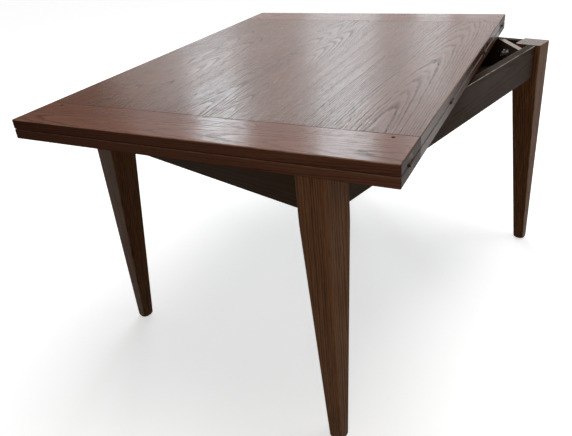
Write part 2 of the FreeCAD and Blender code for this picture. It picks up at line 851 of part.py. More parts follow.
# Room in a leaf's edge for one plate and the barrel.
def mortise(name, low):
    seat = doc.addObject("Part::Box", f"{name}_seat")
    bind(seat, "Length", "plate_length")
    bind(seat, "Width", "plate_thickness")
    bind(seat, "Height", "plate_height")
    bind(seat, "Placement.Base.x", "-plate_length / 2")
    bind(seat, "Placement.Base.z", low)
    barrel = doc.addObject("Part::Cylinder", f"{name}_barrel")
    bind(barrel, "Radius", "knuckle_room")
    bind(barrel, "Height", "plate_length + 2 * knuckle_clearance")
    barrel.Placement.Rotation = FreeCAD.Rotation(FreeCAD.Vector(0, 1, 0), 90)
    bind(barrel, "Placement.Base.x", "-plate_length / 2 - knuckle_clearance")
    bind(barrel, "Placement.Base.y", "-hinge_offset")
    room = doc.addObject("Part::Fuse", name)
    room.Base = seat
    room.Tool = barrel
    return room


def plate_screw_pair(screw, level):
    items = []
    for side in ("-", ""):
        items.append(copy_of(screw, f"{side}plate_screw_spread / 2", "0", level, (1, 0, 0), -90))
    return group("plate_screws", items)


def at_hinges(name, item):
    return group(name, [copy_of(item, x, "leaf_front", "hinge_level") for x in hinge_places.values()])


plain_board = board_blank("plain_board", "0")
edge_board = edge_board_blank()
end_board = end_board_blank()
peg = new_body("peg")
pad(peg, circles(peg, "XY_Plane", [("0", "0", "peg_diameter / 2")]), "leaf_thickness")
underside_holes = group("underside_holes", [flange_screws, stop])
pin_place = copy_of(hinge_pin(), "-plate_length / 2", "-hinge_offset", "0", (0, 1, 0), 90)
node("hinge_pins", group("hinge_pins", [at_hinges("pin_set", pin_place)]), "top")

leaves = {
    "lower": ("lower_bottom", lower_plate_blank(), "-plate_height", "-plate_screw_drop"),
    "upper": ("upper_bottom", upper_plate_blank(), "0", "plate_screw_drop"),
}
for leaf, (level, plate_blank, seat_low, screw_level) in leaves.items():
    pegs = peg_set(f"{leaf}_peg_set", peg, level)
    screw_pair = plate_screw_pair(short_screw, screw_level)
    screws = at_hinges(f"{leaf}_hinge_screw_set", screw_pair)
    rooms = at_hinges(f"{leaf}_mortises", mortise(f"{leaf}_mortise", seat_low))
    plate = cut(f"{leaf}_plate_bored", plate_blank, [screw_pair])
    node(f"{leaf}_pegs", group(f"{leaf}_pegs", [pegs]), "top")
    node(f"{leaf}_hinge_screws", group(f"{leaf}_hinge_screws", [screws]), "top")
    for number, x in hinge_places.items():
        seated = copy_of(plate, x, "leaf_front", "hinge_level")
        node(f"{leaf}_hinge_plate_{number}", group("plate", [seated]), "top")
    left = copy_of(end_board, "leaf_left", "leaf_front", level)
    right = copy_of(end_board, "leaf_right", "leaf_back", level, (0, 0, 1), 180)
    for side, blank in (("left", left), ("right", right)):
        label = f"{leaf}_end_board_{side}"
        node(label, cut(label, blank, [rooms, screws, pegs]), "top")
    underside = [underside_holes] if leaf == "lower" else []
    count = int(sizes.board_count)
    for number in range(1, count + 1):
        label = f"{leaf}_board_{number}"
        row = f"leaf_front + {number - 1} * board_width"
        if number == 1:
            board, joinery = copy_of(edge_board, "pivot_shift", row, level), [rooms, screws, pegs]
        elif number == count:
            board = copy_of(edge_board, "pivot_shift", "leaf_back", level, (0, 0, 1), 180)
            joinery = [pegs]
        else:
            board, joinery = copy_of(plain_board, "pivot_shift", row, level), []
        node(label, cut(label, group(label, [board]), joinery + underside), "top")

doc.recompute()
failed = [item.Name for item in doc.Objects if {"Invalid", "Error"} & set(item.State)]
if failed:
    raise RuntimeError(f"not built: {failed}")
for label, item in nodes.items():
    if item.Shape.isNull() or not item.Shape.isValid():
        raise RuntimeError(f"bad shape: {label}")

os.makedirs("parts", exist_ok=True)
for label, item in nodes.items():
    item.Shape.exportStep(f"parts/{label}.step")
print(len(nodes), "pieces written")
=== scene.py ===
import math
import bpy
from mathutils import Matrix, Quaternion, Vector


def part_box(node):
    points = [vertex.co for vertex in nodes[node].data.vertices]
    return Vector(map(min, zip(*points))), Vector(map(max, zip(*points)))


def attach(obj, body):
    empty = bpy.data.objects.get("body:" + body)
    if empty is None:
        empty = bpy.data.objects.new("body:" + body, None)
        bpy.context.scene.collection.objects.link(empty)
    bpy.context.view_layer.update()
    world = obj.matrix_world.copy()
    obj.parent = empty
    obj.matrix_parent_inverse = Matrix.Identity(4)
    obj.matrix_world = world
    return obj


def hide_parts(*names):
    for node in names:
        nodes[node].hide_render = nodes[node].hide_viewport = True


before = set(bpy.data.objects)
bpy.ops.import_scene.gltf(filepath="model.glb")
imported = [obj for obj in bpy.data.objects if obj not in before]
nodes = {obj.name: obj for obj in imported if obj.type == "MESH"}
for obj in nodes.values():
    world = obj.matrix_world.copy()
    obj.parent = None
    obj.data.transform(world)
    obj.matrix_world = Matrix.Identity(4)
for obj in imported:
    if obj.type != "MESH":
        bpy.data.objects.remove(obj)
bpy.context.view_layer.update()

topTurn = 15.5  # degrees that the folded top is turned on the base
up = Vector((0, 0, 1))
bpy.ops.object.select_all(action="DESELECT")


# small helpers for node trees
def feed(tree, socket, value):
    if isinstance(value, bpy.types.NodeSocket):
        tree.links.new(value, socket)
    else:
        socket.default_value = value


def addNode(tree, kind, **settings):
    node = tree.nodes.new(kind)
    for key, value in settings.items():
        setattr(node, key, value)
    return node


def mathStep(tree, operation, *values, clamp=False):
    node = addNode(tree, "ShaderNodeMath", operation=operation, use_clamp=clamp)
    for socket, value in zip(node.inputs, values):
        feed(tree, socket, value)
    return node.outputs[0]


def vectorStep(tree, operation, *values):
    node = addNode(tree, "ShaderNodeVectorMath", operation=operation)
    for socket, value in zip(node.inputs, values):
        feed(tree, socket, value)
    return node.outputs["Value" if operation in ("LENGTH", "DOT_PRODUCT") else "Vector"]


def coordinate(tree, name):
    return addNode(tree, "ShaderNodeTexCoord").outputs[name]


def axesOf(tree, vector):
    split = addNode(tree, "ShaderNodeSeparateXYZ")
    feed(tree, split.inputs[0], vector)
    return split.outputs


# one layer of noise from its dictionary: value first, colour second
def noiseLayer(tree, place, layer, seed):
    node = addNode(tree, "ShaderNodeTexNoise", noise_dimensions="4D")
    feed(tree, node.inputs["Vector"], vectorStep(tree, "MULTIPLY", place, layer["scale"]))
    node.inputs["W"].default_value = seed + layer["seed"]
    node.inputs["Scale"].default_value = 1.0
    node.inputs["Detail"].default_value = layer.get("detail", 2.0)
    node.inputs["Roughness"].default_value = layer.get("roughness", 0.5)
    return node.outputs


def spread(tree, value, low, high, start=0.0, end=1.0, smooth=False):
    node = addNode(tree, "ShaderNodeMapRange", interpolation_type="SMOOTHSTEP" if smooth else "LINEAR")
    for socket, item in zip(node.inputs, (value, low, high, start, end)):
        feed(tree, socket, item)
    return node.outputs[0]


# the mix node's colour sockets come after its float and vector ones
def mixColour(tree, share, first, second, blend="MIX"):
    node = addNode(tree, "ShaderNodeMix", data_type="RGBA", blend_type=blend)
    feed(tree, node.inputs[0], share)
    feed(tree, node.inputs[6], first)
    feed(tree, node.inputs[7], second)
    return node.outputs[2]


def ramp(tree, share, stops):
    node = addNode(tree, "ShaderNodeValToRGB")
    feed(tree, node.inputs[0], share)
    points = node.color_ramp.elements
    while len(points) < len(stops):
        points.new(0.5)
    for point, (place, tone) in zip(points, stops):
        point.position = place
        point.color = tone if isinstance(tone, tuple) else (tone, tone, tone, 1)
    return node.outputs[0]


def addRelief(tree, shader, height, strength, depth):
    relief = addNode(tree, "ShaderNodeBump")
    feed(tree, relief.inputs["Strength"], strength)
    relief.inputs["Distance"].default_value = depth
    feed(tree, relief.inputs["Height"], height)
    tree.links.new(relief.outputs[0], shader.inputs["Normal"])
    return relief.outputs[0]


# small helpers for finishes and pieces
def newFinish(name):
    finish = bpy.data.materials.new(name)
    finish.use_nodes = True
    tree = finish.node_tree
    shader = next(node for node in tree.nodes if node.type == "BSDF_PRINCIPLED")
    return finish, tree, shader


def colour(red, green, blue):
    return (red, green, blue, 1)


def without(look, *keys):
    return {key: value for key, value in look.items() if key not in keys}


def dress(node, finish):
    slots = nodes[node].data.materials
    slots.clear()
    slots.append(finish)


def middleOf(node):
    low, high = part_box(node)
    return (low + high) / 2


# the piece's own axes: grain along x, face across y
def grainAxes(tree, middle, turn):
    axes = addNode(tree, "ShaderNodeMapping", vector_type="TEXTURE")
    feed(tree, axes.inputs["Vector"], coordinate(tree, "Object"))
    axes.inputs["Location"].default_value = middle
    axes.inputs["Rotation"].default_value = [math.radians(angle) for angle in turn]
    return axes.outputs[0]


# the surface's own normal, as x, y and z
def facing(tree):
    return axesOf(tree, coordinate(tree, "Normal"))


# rounded arrises, found by a normal that leans between two faces; the level kind takes only the arrises that
# lean up, towards the light, so a colour laid on them is partly a painted highlight
arrisLean = {"upright": (0.22, 0.42), "rising": (0.12, 0.4), "level": (0.98, 0.86)}


def roundedArris(tree, kind):
    x, y, z = facing(tree)
    if kind == "upright":
        lean = mathStep(tree, "ABSOLUTE", mathStep(tree, "MULTIPLY", x, y))
        return spread(tree, lean, *arrisLean["upright"])
    rising = spread(tree, z, *arrisLean["rising"])
    return mathStep(tree, "MULTIPLY", rising, spread(tree, z, *arrisLean["level"]))


# rubbed arrises, with the upward ones on wood also a painted highlight, broken up so that they read as use
# and not as a line
rubbing = {
    "samples": 6, "lean": (0.995, 0.80), "patches": (0.34, 0.60), "least": 0.15,
    "patch": {"scale": (38, 38, 38), "seed": 0.0, "detail": 3.0, "roughness": 0.6},
}


def rubbedAndLitEdges(tree, place, width, seed, kind=None):
    rounded = addNode(tree, "ShaderNodeBevel", samples=rubbing["samples"])
    rounded.inputs["Radius"].default_value = width
    flat = addNode(tree, "ShaderNodeNewGeometry").outputs["Normal"]
    edge = spread(tree, vectorStep(tree, "DOT_PRODUCT", rounded.outputs[0], flat), *rubbing["lean"])
    if kind:
        edge = mathStep(tree, "MAXIMUM", edge, roundedArris(tree, kind))
    patch = noiseLayer(tree, place, rubbing["patch"], seed)[0]
    return mathStep(tree, "MULTIPLY", edge, spread(tree, patch, *rubbing["patches"], rubbing["least"], 1.0))


# growth rings round a heart that lies aside of the piece, below it and leaning, in metres and degrees:
# 0 in the open early wood, 1 in the dense late wood
ringFigure = {
    "drift": {"scale": (2.4, 11, 11), "seed": 0.0},
    "uneven": {"scale": (0.9, 5, 5), "seed": 3.1, "detail": 1.0},
    "ragged": {"scale": (15, 170, 170), "seed": 5.7, "roughness": 0.6},
    "unevenYears": 3.0, "weakest": 0.3,
    "year": [(0.0, 0.0), (0.12, 0.12), (0.42, 0.72), (0.9, 1.0), (1.0, 0.55)],
}


def growthRings(tree, place, look, heart, seed):
    aside, below, lean = heart
    drift = noiseLayer(tree, place, ringFigure["drift"], seed)[1]
    swing = vectorStep(tree, "SCALE", vectorStep(tree, "SUBTRACT", drift, (0.5, 0.5, 0.5)))
    swing.node.inputs["Scale"].default_value = look["swing"]
    leaning = addNode(tree, "ShaderNodeMapping", vector_type="POINT")
    feed(tree, leaning.inputs["Vector"], vectorStep(tree, "ADD", place, swing))
    leaning.inputs["Location"].default_value = (0, -aside, below)
    leaning.inputs["Rotation"].default_value = (0, math.radians(-lean), 0)
    radius = vectorStep(tree, "LENGTH", vectorStep(tree, "MULTIPLY", leaning.outputs[0], (0, 1, 1)))
    uneven = noiseLayer(tree, place, ringFigure["uneven"], seed)[0]
    ragged = noiseLayer(tree, place, ringFigure["ragged"], seed)[0]
    slow = mathStep(tree, "MULTIPLY", uneven, ringFigure["unevenYears"])
    wander = mathStep(tree, "MULTIPLY_ADD", ragged, look["ragged"], slow)
    phase = mathStep(tree, "MULTIPLY_ADD", radius, 1 / look["ring"], wander)
    late = ramp(tree, mathStep(tree, "FRACT", phase), ringFigure["year"])
    year = addNode(tree, "ShaderNodeTexWhiteNoise", noise_dimensions="1D")
    feed(tree, year.inputs["W"], mathStep(tree, "FLOOR", mathStep(tree, "ADD", phase, seed)))
    early = mathStep(tree, "SUBTRACT", 1.0, late)
    strength = spread(tree, year.outputs["Value"], 0.0, 1.0, ringFigure["weakest"], 1.0)
    return mathStep(tree, "SUBTRACT", 1.0, mathStep(tree, "MULTIPLY", early, strength))


# dark line where the boards' ends meet the end boards
def jointLine(tree, place, look):
    along = mathStep(tree, "ABSOLUTE", axesOf(tree, place)[0])
    fromJoint = mathStep(tree, "SUBTRACT", look["joint"], along)
    return spread(tree, fromJoint, look["jointWidth"], look["jointWidth"] / 2)


# stained oak: rings, open pores, broad tone, painted shade on the sides and on some tops, rubbed edges with a
# painted highlight on the upward arrises, and a satin varnish
oakFigure = {
    "pores": {"scale": (48, 1500, 1500), "seed": 7.3, "roughness": 0.6},
    "fibre": {"seed": 11.7, "detail": 3.0, "roughness": 0.65},
    "tone": {"scale": (1.5, 9, 9), "seed": 17.9},
    "smear": {"scale": (6, 9, 9), "seed": 29.7, "detail": 3.0, "roughness": 0.6},
    "rubbedSeed": 23.3, "poreWidth": (0.5, 0.66), "poresToLate": 1.15, "evenTone": 0.275, "midAt": 0.45,
    "smears": (0.3, 0.7), "poreDull": 0.18, "rubbedDull": 0.12,
    "ridge": 0.35, "poreDepth": 0.6, "reliefDepth": 0.0006,
}
# how a face has to lie before each effect starts and where it is full
oakFaces = {
    "edge": (0.9, 0.35), "top": (0.90, 0.97), "varnished": (0.86, 0.98), "relief": (0.35, 0.9),
    "hingedArris": (0.1, 0.3), "unrubbed": (0.1, 0.45), "endGrain": (0.5, 0.9),
}


# varnish on the flat faces, and where a side is polished on that side and the arris above it
def varnishCoat(tree, look, varnished, towards):
    coat = spread(tree, varnished, *oakFaces["varnished"], 0.0, look["varnish"])
    if towards is None:
        return coat
    side = spread(tree, towards, *oakFaces["varnished"], 0.0, look["sideVarnish"])
    between = mathStep(tree, "MULTIPLY", towards, varnished)
    arris = spread(tree, between, *oakFaces["hingedArris"], 0.0, look["sideVarnish"])
    return mathStep(tree, "MAXIMUM", mathStep(tree, "ADD", coat, side), arris)


def stainedOak(name, look, middle, turn, heart, seed):
    finish, tree, shader = newFinish(name)
    place = grainAxes(tree, middle, turn)
    late = growthRings(tree, place, look, heart, seed)
    opened = spread(tree, noiseLayer(tree, place, oakFigure["pores"], seed)[0], *oakFigure["poreWidth"])
    inEarly = mathStep(tree, "SUBTRACT", oakFigure["poresToLate"], late, clamp=True)
    pore = mathStep(tree, "MULTIPLY", opened, inEarly)
    fibre = noiseLayer(tree, place, dict(oakFigure["fibre"], scale=look["fibreScale"]), seed)[0]
    tone = noiseLayer(tree, place, oakFigure["tone"], seed)[0]
    faceUp = mathStep(tree, "ABSOLUTE", facing(tree)[2])
    # colour: evenTone keeps the mean when the contrast changes
    streaks = mathStep(tree, "MULTIPLY", fibre, look["fibre"])
    rings = mathStep(tree, "MULTIPLY_ADD", late, look["ringShare"], streaks)
    middling = (look["fibre"] + look["toneShare"]) / 2 - oakFigure["evenTone"]
    figure = mathStep(tree, "SUBTRACT", rings, middling)
    depth = mathStep(tree, "MULTIPLY_ADD", tone, look["toneShare"], figure)
    stops = [(0.0, look["dark"]), (oakFigure["midAt"], look["mid"]), (1.0, look["light"])]
    poreShare = mathStep(tree, "MULTIPLY", pore, look["poreShare"])
    stainedAndShaded = mixColour(tree, poreShare, ramp(tree, depth, stops), look["pore"])
    # painted shade: side faces, and on some looks top faces, are darkened by the way they face
    for shadeKey, face in (("sideShade", "edge"), ("topShade", "top")):
        if shadeKey in look:
            stainedAndShaded = mixColour(tree, spread(tree, faceUp, *oakFaces[face]), stainedAndShaded, look[shadeKey], "MULTIPLY")
    seam = 0.0
    if "joint" in look:
        seam = jointLine(tree, place, look)
        stainedAndShaded = mixColour(tree, seam, stainedAndShaded, look["pore"])
    # rubbed arrises, and on the upward ones a painted highlight
    rubbedAndLit = rubbedAndLitEdges(tree, place, look["edge"], seed + oakFigure["rubbedSeed"], look["arris"])
    towards = None
    if "polishedSide" in look:
        towards = vectorStep(tree, "DOT_PRODUCT", coordinate(tree, "Normal"), look["polishedSide"])
        rubbedAndLit = mathStep(tree, "MULTIPLY", rubbedAndLit, spread(tree, towards, *oakFaces["unrubbed"], 1.0, 0.0))
    if "endStain" in look:
        atEnd = spread(tree, mathStep(tree, "ABSOLUTE", towards), *oakFaces["endGrain"])
        stainedAndShaded = mixColour(tree, atEnd, stainedAndShaded, look["endStain"], "MULTIPLY")
    # the pale arris colour, part wear and part painted highlight, laid over the stained and shaded colour
    wornAndHighlit = mixColour(tree, mathStep(tree, "MULTIPLY", rubbedAndLit, look["wearAndHighlight"]), stainedAndShaded, look["wornAndHighlit"])
    tree.links.new(wornAndHighlit, shader.inputs["Base Color"])
    # sheen
    coat = varnishCoat(tree, look, faceUp if look["twoFaced"] else facing(tree)[2], towards)
    tree.links.new(mathStep(tree, "SUBTRACT", coat, seam, clamp=True), shader.inputs["Coat Weight"])
    shader.inputs["Coat Roughness"].default_value = look["coatGloss"]
    shader.inputs["Coat IOR"].default_value = look["coatIor"]
    smear = noiseLayer(tree, place, oakFigure["smear"], seed)[0]
    satin = spread(tree, smear, *oakFigure["smears"], *look["gloss"])
    rubbedDull = mathStep(tree, "MULTIPLY_ADD", rubbedAndLit, oakFigure["rubbedDull"], satin)
    dull = mathStep(tree, "MULTIPLY_ADD", pore, oakFigure["poreDull"], rubbedDull)
    tree.links.new(dull, shader.inputs["Roughness"])
    shader.inputs["Specular IOR Level"].default_value = look["shine"]
    # relief
    ridges = mathStep(tree, "MULTIPLY", fibre, oakFigure["ridge"])
    ridges = mathStep(tree, "MULTIPLY_ADD", late, oakFigure["ridge"], ridges)
    height = mathStep(tree, "SUBTRACT", ridges, mathStep(tree, "MULTIPLY", pore, oakFigure["poreDepth"]))
    height = mathStep(tree, "SUBTRACT", height, seam)
    strength = spread(tree, faceUp, *oakFaces["relief"], look["edgeRelief"], look["relief"])
    normal = addRelief(tree, shader, height, strength, oakFigure["reliefDepth"])
    tree.links.new(normal, shader.inputs["Coat Normal"])
    return finish


# the leaves: six boards between two end boards, in both leaves
across = Vector((-math.sin(math.radians(topTurn)), math.cos(math.radians(topTurn)), 0))
# the edge colour is painted shade on the boards' sides; the worn colour is wear and a painted highlight on
# the upward arrises
topOak = {
    "dark": colour(0.040, 0.014, 0.007), "mid": colour(0.097, 0.042, 0.027),
    "light": colour(0.184, 0.091, 0.061), "pore": colour(0.014, 0.007, 0.005),
    "wornAndHighlit": colour(0.40, 0.25, 0.17), "sideShade": colour(0.66, 0.63, 0.58),
    "ring": 0.0046, "ringShare": 0.66, "ragged": 0.8, "swing": 0.016,
    "fibre": 0.55, "fibreScale": (9, 330, 330), "toneShare": 0.5, "poreShare": 0.75,
    "edge": 0.0025, "arris": "level", "wearAndHighlight": 0.5,
    "gloss": (0.34, 0.46), "shine": 0.0, "relief": 0.6, "edgeRelief": 0.06, "twoFaced": True,
    "varnish": 0.62, "coatGloss": 0.20, "coatIor": 1.46, "polishedSide": -across, "sideVarnish": 0.48,
    "joint": 0.478, "jointWidth": 0.0024,
}
# end grain drinks the stain, so the end boards' ends are darker and duller
# the end boards' sides take a lighter painted shade than the boards' sides
endOak = dict(
    without(topOak, "joint", "jointWidth"),
    mid=colour(0.162, 0.068, 0.045), light=colour(0.242, 0.112, 0.073),
    sideShade=colour(0.84, 0.79, 0.72), endStain=colour(0.42, 0.42, 0.44), ringShare=0.45, relief=0.42,
    varnish=0.67, coatGloss=0.17, sideVarnish=0.24)
# the lower leaf: a lighter painted shade on its sides, and more painted highlight and wear on its upward
# arrises
leafSet = {
    "looks": {"upper": {}, "lower": {"twoFaced": False, "sideShade": colour(0.92, 0.88, 0.80), "wearAndHighlight": 0.4}},
    "seeds": {"upper": 0.0, "lower": 40.0}, "boardSeed": 5.3, "endSeed": 61.0, "endSeedStep": 100,
    "boardHearts": [(0.008, 0.042, 2.9), (-0.09, 0.05, 1.4), (0.052, 0.038, 2.8),
                    (-0.03, 0.055, 2.2), (0.02, 0.046, 3.2), (-0.055, 0.05, 2.5)],
    "endHearts": {"left": (0.03, 0.06, 1.8), "right": (-0.02, 0.05, 2.4)},
}
for leaf, leafLook in leafSet["looks"].items():
    leafSeed = leafSet["seeds"][leaf]
    leafMiddle = (middleOf(f"{leaf}_end_board_left") + middleOf(f"{leaf}_end_board_right")) / 2
    look = dict(topOak, **leafLook)
    for number, heart in enumerate(leafSet["boardHearts"], start=1):
        node = f"{leaf}_board_{number}"
        middle = leafMiddle + across * (middleOf(node) - leafMiddle).dot(across)
        seed = leafSeed + number * leafSet["boardSeed"]
        dress(node, stainedOak(node + "_oak", look, middle, (0, 0, topTurn), heart, seed))
    look = dict(endOak, **leafLook)
    for side, heart in leafSet["endHearts"].items():
        node = f"{leaf}_end_board_{side}"
        seed = leafSeed + leafSet["endSeed"] + heart[0] * leafSet["endSeedStep"]
        dress(node, stainedOak(node + "_oak", look, middleOf(node), (0, 0, topTurn + 90), heart, seed))
print("leaves dressed")

# the legs: straight upright grain, painted shade on their tops, and one leg's sides darkened as painted shade
plainOak = without(endOak, "sideShade", "endStain", "polishedSide", "sideVarnish")
legOak = dict(
    plainOak, dark=colour(0.018, 0.007, 0.003), mid=colour(0.106, 0.040, 0.013),
    light=colour(0.285, 0.130, 0.056), topShade=colour(0.45, 0.42, 0.38),
    ring=0.0044, ringShare=0.62, ragged=1.0, swing=0.012, fibre=1.3, fibreScale=(12, 250, 250), toneShare=0.6,
    arris="upright", wearAndHighlight=0.1, gloss=(0.42, 0.54), shine=0.05, relief=0.5, edgeRelief=0.5, varnish=0.8)
legSet = {
    "turn": (0, -90, 0), "seed": 101.0, "seedStep": 4.7,
    "hearts": {"front_left": (0.09, 0.07, 0.4), "front_right": (0.08, 0.10, 0.3),
               "back_right": (0.12, 0.06, 0.5), "back_left": (0.07, 0.09, 0.4)},
    # this leg's sides are darkened as painted shade
    "legShade": {"back_left": colour(0.60, 0.58, 0.56)},
}
for number, (corner, heart) in enumerate(legSet["hearts"].items()):
    node = f"leg_{corner}"
    look = dict(legOak, sideShade=legSet["legShade"][corner]) if corner in legSet["legShade"] else legOak
    seed = legSet["seed"] + legSet["seedStep"] * number
    dress(node, stainedOak(node + "_oak", look, middleOf(node), legSet["turn"], heart, seed))
print("legs dressed")

# the aprons: greyer and flatter than the legs, painted shade on their tops, and a pale line on the upward
# arrises, part wear and part painted highlight
apronOak = dict(
    plainOak, dark=colour(0.014, 0.008, 0.005), mid=colour(0.044, 0.024, 0.014),
    light=colour(0.074, 0.043, 0.027), wornAndHighlit=colour(0.66, 0.58, 0.48), topShade=colour(0.35, 0.33, 0.30),
    ringShare=0.4, swing=0.010, wearAndHighlight=0.9, edge=0.001, gloss=(0.42, 0.55), shine=0.03,
    relief=0.3, edgeRelief=0.3, varnish=0.0)
apronSet = {"turns": {"front": 0, "right": 90, "back": 180, "left": 270},
            "upright": 90, "heart": (0.02, 0.06, 1.1), "seed": 131.0, "seedStep": 3.9}
for number, (side, turn) in enumerate(apronSet["turns"].items()):
    node = f"apron_{side}"
    axes = (apronSet["upright"], 0, turn)
    seed = apronSet["seed"] + apronSet["seedStep"] * number
    dress(node, stainedOak(node + "_oak", apronOak, middleOf(node), axes, apronSet["heart"], seed))

# braces and pivot rail: plain wood inside the frame, stained thin
frameWood = dict(
    plainOak, dark=colour(0.075, 0.050, 0.034), mid=colour(0.150, 0.104, 0.070),
    light=colour(0.235, 0.172, 0.120), pore=colour(0.05, 0.032, 0.02), wornAndHighlit=colour(0.36, 0.28, 0.2),
    ringShare=0.5, swing=0.008, arris=None, wearAndHighlight=0.4, gloss=(0.55, 0.7), shine=0.1,
    relief=0.35, edgeRelief=0.35)
braceWood = dict(frameWood, sideShade=colour(0.34, 0.32, 0.31))  # painted shade darkens the faces; the top keeps the plain colour
braceSet = {"turns": {"front_left": 135, "front_right": 45, "back_right": 135, "back_left": 45},
            "upright": 90, "heart": (0.04, 0.05, 0.8), "seed": 151.0, "seedStep": 2.9}
for number, (corner, turn) in enumerate(braceSet["turns"].items()):
    node = f"brace_{corner}"
    axes = (braceSet["upright"], 0, turn)
    seed = braceSet["seed"] + braceSet["seedStep"] * number
    dress(node, stainedOak(node + "_wood", braceWood, middleOf(node), axes, braceSet["heart"], seed))
railSet = {"turn": (0, 0, 90), "heart": (0.05, 0.06, 0.9), "seed": 167.0}
dress("pivot_rail", stainedOak("pivot_rail_wood", frameWood, middleOf("pivot_rail"), **railSet))

# the store's floor: a brown faced sheet
panelFace = dict(
    plainOak, dark=colour(0.140, 0.085, 0.057), mid=colour(0.280, 0.176, 0.122),
    light=colour(0.400, 0.268, 0.195), ring=0.0075, ringShare=0.45, swing=0.03, arris=None, wearAndHighlight=0.0,
    gloss=(0.5, 0.62), shine=0.25, relief=0.2, edgeRelief=0.2, varnish=0.2)
panelSet = {"turn": (0, 0, 0), "heart": (0.1, 0.12, 3.4), "seed": 181.0}
dress("store_panel", stainedOak("panel_face", panelFace, middleOf("store_panel"), **panelSet))
print("frame dressed")

# metal with handling marks: fine scratches, tarnish in patches, bright edges
metalMarks = {
    "patch": {"scale": (160, 160, 160), "seed": 0.0, "detail": 4.0, "roughness": 0.65},
    "scratch": {"scale": (2600, 240, 2600), "seed": 5.0},
    "rubbedSeed": 9.0, "edge": 0.0006, "tarnish": (0.4, 0.7), "dull": (0.35, 0.7), "scratchDull": 0.14,
    "threadHeight": 4.0, "relief": 0.25, "reliefDepth": 0.0001,
}


def handledMetal(name, look):
    finish, tree, shader = newFinish(name)
    place = coordinate(tree, "Object")
    patch = noiseLayer(tree, place, metalMarks["patch"], look["seed"])[0]
    scratch = noiseLayer(tree, place, metalMarks["scratch"], look["seed"])[0]
    tarnished = mixColour(tree, spread(tree, patch, *metalMarks["tarnish"]), look["clean"], look["tarnish"])
    rubbedAndLit = rubbedAndLitEdges(tree, place, metalMarks["edge"], look["seed"] + metalMarks["rubbedSeed"])
    bright = mixColour(tree, mathStep(tree, "MULTIPLY", rubbedAndLit, look["wearAndHighlight"]), tarnished, look["bright"])
    tree.links.new(bright, shader.inputs["Base Color"])
    shader.inputs["Metallic"].default_value = 1.0
    dull = spread(tree, patch, *metalMarks["dull"], *look["gloss"])
    rough = mathStep(tree, "MULTIPLY_ADD", scratch, metalMarks["scratchDull"], dull)
    tree.links.new(rough, shader.inputs["Roughness"])
    height = scratch
    if "pitch" in look:
        # every bolt lies on a diagonal of the base, so its thread counts along x and y together
        fromMiddle = vectorStep(tree, "ABSOLUTE", vectorStep(tree, "SUBTRACT", place, look["middle"]))
        diagonal = vectorStep(tree, "DOT_PRODUCT", fromMiddle, (1, 1, 0))
        along = mathStep(tree, "DIVIDE", diagonal, math.sqrt(2))
        thread = mathStep(tree, "SINE", mathStep(tree, "MULTIPLY", along, 2 * math.pi / look["pitch"]))
        height = mathStep(tree, "MULTIPLY_ADD", thread, metalMarks["threadHeight"], scratch)
    addRelief(tree, shader, height, metalMarks["relief"], metalMarks["reliefDepth"])
    return finish


bronzeLook = {"clean": colour(0.062, 0.043, 0.028), "tarnish": colour(0.024, 0.018, 0.014),
              "bright": colour(0.30, 0.20, 0.11), "wearAndHighlight": 0.5, "gloss": (0.42, 0.60), "seed": 201.0}
steelLook = {"clean": colour(0.46, 0.46, 0.45), "tarnish": colour(0.27, 0.26, 0.24),
             "bright": colour(0.66, 0.66, 0.64), "wearAndHighlight": 0.6, "gloss": (0.30, 0.46), "seed": 211.0}
threadLook = dict(steelLook, pitch=0.00125, middle=middleOf("store_panel"), seed=216.0)
bronze = handledMetal("dark_bronze", bronzeLook)
steel = handledMetal("plated_steel", steelLook)
hingeNumbers = range(1, 5)
for leaf in ("lower", "upper"):
    for number in hingeNumbers:
        dress(f"{leaf}_hinge_plate_{number}", bronze)
for node in ("hinge_pins", "pivot_bush"):
    dress(node, bronze)
for node in ("leg_washers", "wing_nuts", "pivot_flange", "keeper_washer", "lock_nut"):
    dress(node, steel)
dress("leg_bolts", handledMetal("threaded_steel", threadLook))

# fine specks: the pegs' end grain and the pads' scuffs
speckFigure = {
    "cells": {"scale": (1800, 1800, 60), "seed": 0.0, "roughness": 0.6},
    "tone": {"scale": (260, 260, 30), "seed": 3.0},
    "cellShare": 0.6, "toneShare": 0.4, "range": (0.3, 0.7), "relief": 0.3, "reliefDepth": 0.0002,
}


def speckled(name, look, seed):
    finish, tree, shader = newFinish(name)
    place = coordinate(tree, "Object")
    cells = noiseLayer(tree, place, speckFigure["cells"], seed)[0]
    tone = noiseLayer(tree, place, speckFigure["tone"], seed)[0]
    toned = mathStep(tree, "MULTIPLY", tone, speckFigure["toneShare"])
    share = mathStep(tree, "MULTIPLY_ADD", cells, speckFigure["cellShare"], toned)
    stops = list(zip(speckFigure["range"], (look["dark"], look["light"])))
    tree.links.new(ramp(tree, share, stops), shader.inputs["Base Color"])
    tree.links.new(spread(tree, cells, *speckFigure["range"], *look["gloss"]), shader.inputs["Roughness"])
    shader.inputs["Specular IOR Level"].default_value = look["shine"]
    addRelief(tree, shader, cells, speckFigure["relief"], speckFigure["reliefDepth"])
    return finish


# pegs: end grain, darker than the boards
pegLook = {"dark": colour(0.010, 0.006, 0.004), "light": colour(0.034, 0.016, 0.009),
           "gloss": (0.4, 0.55), "shine": 0.0, "seed": 221.0}
for number, node in enumerate(("lower_pegs", "upper_pegs", "stop_peg")):
    dress(node, speckled(node + "_grain", pegLook, pegLook["seed"] + number))

# slide pads: off-white nylon, scuffed by the top
padLook = {"dark": colour(0.42, 0.40, 0.35), "light": colour(0.66, 0.64, 0.58),
           "gloss": (0.38, 0.55), "shine": 0.5, "seed": 231.0}
dress("slide_pads", speckled("scuffed_nylon", padLook, padLook["seed"]))
print("fittings dressed")


